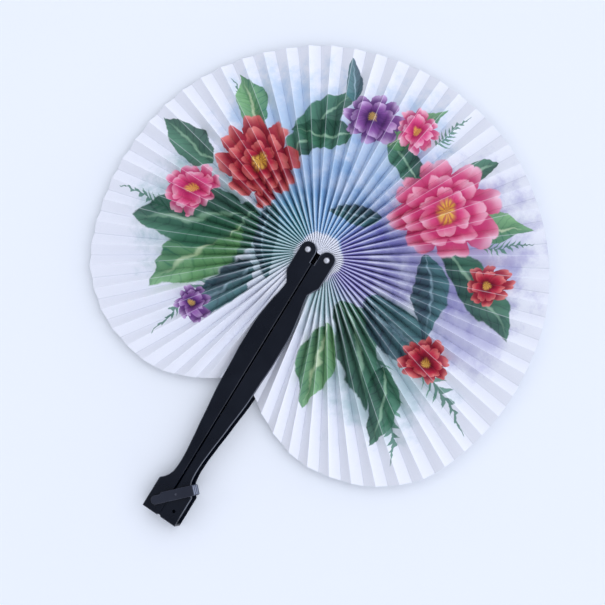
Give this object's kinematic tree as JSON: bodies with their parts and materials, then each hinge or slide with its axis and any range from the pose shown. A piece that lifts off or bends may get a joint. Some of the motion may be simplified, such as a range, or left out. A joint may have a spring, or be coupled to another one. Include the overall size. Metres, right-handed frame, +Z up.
{
  "type": "folding fan",
  "caption": "Round pleated paper hand fan whose leaf folds away between the hinged halves of its channel-shaped plastic handle, held open or shut by a turning latch.",
  "frame": {"origin": "middle of the open fan's outline on the table it lies on", "axes": "+Z up out of the printed face, +Y from the handle's base to the top of the leaf, +X to the half of the handle without the latch's stud"},
  "size_m": [0.2562, 0.2818, 0.0122],
  "materials": {
    "handle_plastic": "satin black moulding",
    "latch_plastic": "dark grey moulding",
    "steel": "plain",
    "leaf_paper": "printed white paper"
  },
  "bodies": {
    "hub": {"rivet_left": "steel", "rivet_right": "steel", "pivot_link": "handle_plastic"},
    "half_right": {"handle_right": "handle_plastic", "leaf_gore_01": "leaf_paper"},
    "half_left": {"handle_left": "handle_plastic", "leaf_gore_30": "leaf_paper"},
    "latch": {"latch_arm": "latch_plastic"},
    "gore_02": {"leaf_gore_02": "leaf_paper"},
    "gore_29": {"leaf_gore_29": "leaf_paper"},
    "gore_03": {"leaf_gore_03": "leaf_paper"},
    "gore_28": {"leaf_gore_28": "leaf_paper"},
    "gore_04": {"leaf_gore_04": "leaf_paper"},
    "gore_27": {"leaf_gore_27": "leaf_paper"},
    "gore_05": {"leaf_gore_05": "leaf_paper"},
    "gore_26": {"leaf_gore_26": "leaf_paper"},
    "gore_06": {"leaf_gore_06": "leaf_paper"},
    "gore_25": {"leaf_gore_25": "leaf_paper"},
    "gore_07": {"leaf_gore_07": "leaf_paper"},
    "gore_24": {"leaf_gore_24": "leaf_paper"},
    "gore_08": {"leaf_gore_08": "leaf_paper"},
    "gore_23": {"leaf_gore_23": "leaf_paper"},
    "gore_09": {"leaf_gore_09": "leaf_paper"},
    "gore_22": {"leaf_gore_22": "leaf_paper"},
    "gore_10": {"leaf_gore_10": "leaf_paper"},
    "gore_21": {"leaf_gore_21": "leaf_paper"},
    "gore_11": {"leaf_gore_11": "leaf_paper"},
    "gore_20": {"leaf_gore_20": "leaf_paper"},
    "gore_12": {"leaf_gore_12": "leaf_paper"},
    "gore_19": {"leaf_gore_19": "leaf_paper"},
    "gore_13": {"leaf_gore_13": "leaf_paper"},
    "gore_18": {"leaf_gore_18": "leaf_paper"},
    "gore_14": {"leaf_gore_14": "leaf_paper"},
    "gore_17": {"leaf_gore_17": "leaf_paper"},
    "gore_15": {"leaf_gore_15": "leaf_paper"},
    "gore_16": {"leaf_gore_16": "leaf_paper"}
  },
  "joints": [
    {"name": "fold_right", "type": "hinge", "parent": "hub", "child": "half_right", "pos_m": [0.0061, 0.0253, 0.00515], "axis": [0, 0, 1], "range_deg": [0, 180], "deforming": ["leaf_gore_01", "leaf_gore_02", "leaf_gore_03", "leaf_gore_04", "leaf_gore_05", "leaf_gore_06", "leaf_gore_07", "leaf_gore_08", "leaf_gore_09", "leaf_gore_10", "leaf_gore_11", "leaf_gore_12", "leaf_gore_13", "leaf_gore_14", "leaf_gore_15", "leaf_gore_16", "leaf_gore_17", "leaf_gore_18", "leaf_gore_19", "leaf_gore_20", "leaf_gore_21", "leaf_gore_22", "leaf_gore_23", "leaf_gore_24", "leaf_gore_25", "leaf_gore_26", "leaf_gore_27", "leaf_gore_28", "leaf_gore_29", "leaf_gore_30"]},
    {"name": "fold_left", "type": "hinge", "parent": "hub", "child": "half_left", "pos_m": [-0.0061, 0.0253, 0.00515], "axis": [0, 0, 1], "range_deg": [-180, 0]},
    {"name": "latch_turn", "type": "hinge", "parent": "half_left", "child": "latch", "pos_m": [-0.0061, -0.1342, 0.0108], "axis": [0, 0, 1], "range_deg": [-45, 135]},
    {"name": "spread_02", "type": "hinge", "parent": "hub", "child": "gore_02", "pos_m": [0.00549, 0.0253, 0.00515], "axis": [0, 0, 1], "range_deg": [0, 162.53]},
    {"name": "spread_03", "type": "hinge", "parent": "hub", "child": "gore_03", "pos_m": [0.00508, 0.0253, 0.00515], "axis": [0, 0, 1], "range_deg": [0, 150.37]},
    {"name": "spread_04", "type": "hinge", "parent": "hub", "child": "gore_04", "pos_m": [0.00468, 0.0253, 0.00515], "axis": [0, 0, 1], "range_deg": [0, 138.47]},
    {"name": "spread_05", "type": "hinge", "parent": "hub", "child": "gore_05", "pos_m": [0.00427, 0.0253, 0.00515], "axis": [0, 0, 1], "range_deg": [0, 126.79]},
    {"name": "spread_06", "type": "hinge", "parent": "hub", "child": "gore_06", "pos_m": [0.00386, 0.0253, 0.00515], "axis": [0, 0, 1], "range_deg": [0, 115.21]},
    {"name": "spread_07", "type": "hinge", "parent": "hub", "child": "gore_07", "pos_m": [0.00346, 0.0253, 0.00515], "axis": [0, 0, 1], "range_deg": [0, 103.54]},
    {"name": "spread_08", "type": "hinge", "parent": "hub", "child": "gore_08", "pos_m": [0.00305, 0.0253, 0.00515], "axis": [0, 0, 1], "range_deg": [0, 91.77]},
    {"name": "spread_09", "type": "hinge", "parent": "hub", "child": "gore_09", "pos_m": [0.00264, 0.0253, 0.00515], "axis": [0, 0, 1], "range_deg": [0, 79.89]},
    {"name": "spread_10", "type": "hinge", "parent": "hub", "child": "gore_10", "pos_m": [0.00224, 0.0253, 0.00515], "axis": [0, 0, 1], "range_deg": [0, 67.95]},
    {"name": "spread_11", "type": "hinge", "parent": "hub", "child": "gore_11", "pos_m": [0.00183, 0.0253, 0.00515], "axis": [0, 0, 1], "range_deg": [0, 55.92]},
    {"name": "spread_12", "type": "hinge", "parent": "hub", "child": "gore_12", "pos_m": [0.00142, 0.0253, 0.00515], "axis": [0, 0, 1], "range_deg": [0, 43.72]},
    {"name": "spread_13", "type": "hinge", "parent": "hub", "child": "gore_13", "pos_m": [0.00102, 0.0253, 0.00515], "axis": [0, 0, 1], "range_deg": [0, 31.36]},
    {"name": "spread_14", "type": "hinge", "parent": "hub", "child": "gore_14", "pos_m": [0.00061, 0.0253, 0.00515], "axis": [0, 0, 1], "range_deg": [0, 18.92]},
    {"name": "spread_15", "type": "hinge", "parent": "hub", "child": "gore_15", "pos_m": [0.0002, 0.0253, 0.00515], "axis": [0, 0, 1], "range_deg": [0, 6.32]},
    {"name": "spread_16", "type": "hinge", "parent": "hub", "child": "gore_16", "pos_m": [-0.0002, 0.0253, 0.00515], "axis": [0, 0, 1], "range_deg": [-6.32, 0]},
    {"name": "spread_17", "type": "hinge", "parent": "hub", "child": "gore_17", "pos_m": [-0.00061, 0.0253, 0.00515], "axis": [0, 0, 1], "range_deg": [-18.92, 0]},
    {"name": "spread_18", "type": "hinge", "parent": "hub", "child": "gore_18", "pos_m": [-0.00102, 0.0253, 0.00515], "axis": [0, 0, 1], "range_deg": [-31.36, 0]},
    {"name": "spread_19", "type": "hinge", "parent": "hub", "child": "gore_19", "pos_m": [-0.00142, 0.0253, 0.00515], "axis": [0, 0, 1], "range_deg": [-43.72, 0]},
    {"name": "spread_20", "type": "hinge", "parent": "hub", "child": "gore_20", "pos_m": [-0.00183, 0.0253, 0.00515], "axis": [0, 0, 1], "range_deg": [-55.92, 0]},
    {"name": "spread_21", "type": "hinge", "parent": "hub", "child": "gore_21", "pos_m": [-0.00224, 0.0253, 0.00515], "axis": [0, 0, 1], "range_deg": [-67.95, 0]},
    {"name": "spread_22", "type": "hinge", "parent": "hub", "child": "gore_22", "pos_m": [-0.00264, 0.0253, 0.00515], "axis": [0, 0, 1], "range_deg": [-79.89, 0]},
    {"name": "spread_23", "type": "hinge", "parent": "hub", "child": "gore_23", "pos_m": [-0.00305, 0.0253, 0.00515], "axis": [0, 0, 1], "range_deg": [-91.77, 0]},
    {"name": "spread_24", "type": "hinge", "parent": "hub", "child": "gore_24", "pos_m": [-0.00346, 0.0253, 0.00515], "axis": [0, 0, 1], "range_deg": [-103.54, 0]},
    {"name": "spread_25", "type": "hinge", "parent": "hub", "child": "gore_25", "pos_m": [-0.00386, 0.0253, 0.00515], "axis": [0, 0, 1], "range_deg": [-115.21, 0]},
    {"name": "spread_26", "type": "hinge", "parent": "hub", "child": "gore_26", "pos_m": [-0.00427, 0.0253, 0.00515], "axis": [0, 0, 1], "range_deg": [-126.79, 0]},
    {"name": "spread_27", "type": "hinge", "parent": "hub", "child": "gore_27", "pos_m": [-0.00468, 0.0253, 0.00515], "axis": [0, 0, 1], "range_deg": [-138.47, 0]},
    {"name": "spread_28", "type": "hinge", "parent": "hub", "child": "gore_28", "pos_m": [-0.00508, 0.0253, 0.00515], "axis": [0, 0, 1], "range_deg": [-150.37, 0]},
    {"name": "spread_29", "type": "hinge", "parent": "hub", "child": "gore_29", "pos_m": [-0.00549, 0.0253, 0.00515], "axis": [0, 0, 1], "range_deg": [-162.53, 0]}
  ],
  "couplings": [
    {"joint": "fold_left", "follows": "fold_right", "ratio": -1},
    {"joint": "spread_02", "follows": "fold_right", "ratio": 0.90291},
    {"joint": "spread_03", "follows": "fold_right", "ratio": 0.83535},
    {"joint": "spread_04", "follows": "fold_right", "ratio": 0.7692},
    {"joint": "spread_05", "follows": "fold_right", "ratio": 0.70431},
    {"joint": "spread_06", "follows": "fold_right", "ratio": 0.63999},
    {"joint": "spread_07", "follows": "fold_right", "ratio": 0.57516},
    {"joint": "spread_08", "follows": "fold_right", "ratio": 0.50977},
    {"joint": "spread_09", "follows": "fold_right", "ratio": 0.44375},
    {"joint": "spread_10", "follows": "fold_right", "ratio": 0.37745},
    {"joint": "spread_11", "follows": "fold_right", "ratio": 0.31059},
    {"joint": "spread_12", "follows": "fold_right", "ratio": 0.24283},
    {"joint": "spread_13", "follows": "fold_right", "ratio": 0.17418},
    {"joint": "spread_14", "follows": "fold_right", "ratio": 0.10504},
    {"joint": "spread_15", "follows": "fold_right", "ratio": 0.03506},
    {"joint": "spread_16", "follows": "fold_right", "ratio": -0.03506},
    {"joint": "spread_17", "follows": "fold_right", "ratio": -0.10504},
    {"joint": "spread_18", "follows": "fold_right", "ratio": -0.17418},
    {"joint": "spread_19", "follows": "fold_right", "ratio": -0.24283},
    {"joint": "spread_20", "follows": "fold_right", "ratio": -0.31059},
    {"joint": "spread_21", "follows": "fold_right", "ratio": -0.37745},
    {"joint": "spread_22", "follows": "fold_right", "ratio": -0.44375},
    {"joint": "spread_23", "follows": "fold_right", "ratio": -0.50977},
    {"joint": "spread_24", "follows": "fold_right", "ratio": -0.57516},
    {"joint": "spread_25", "follows": "fold_right", "ratio": -0.63999},
    {"joint": "spread_26", "follows": "fold_right", "ratio": -0.70431},
    {"joint": "spread_27", "follows": "fold_right", "ratio": -0.7692},
    {"joint": "spread_28", "follows": "fold_right", "ratio": -0.83535},
    {"joint": "spread_29", "follows": "fold_right", "ratio": -0.90291}
  ]
}
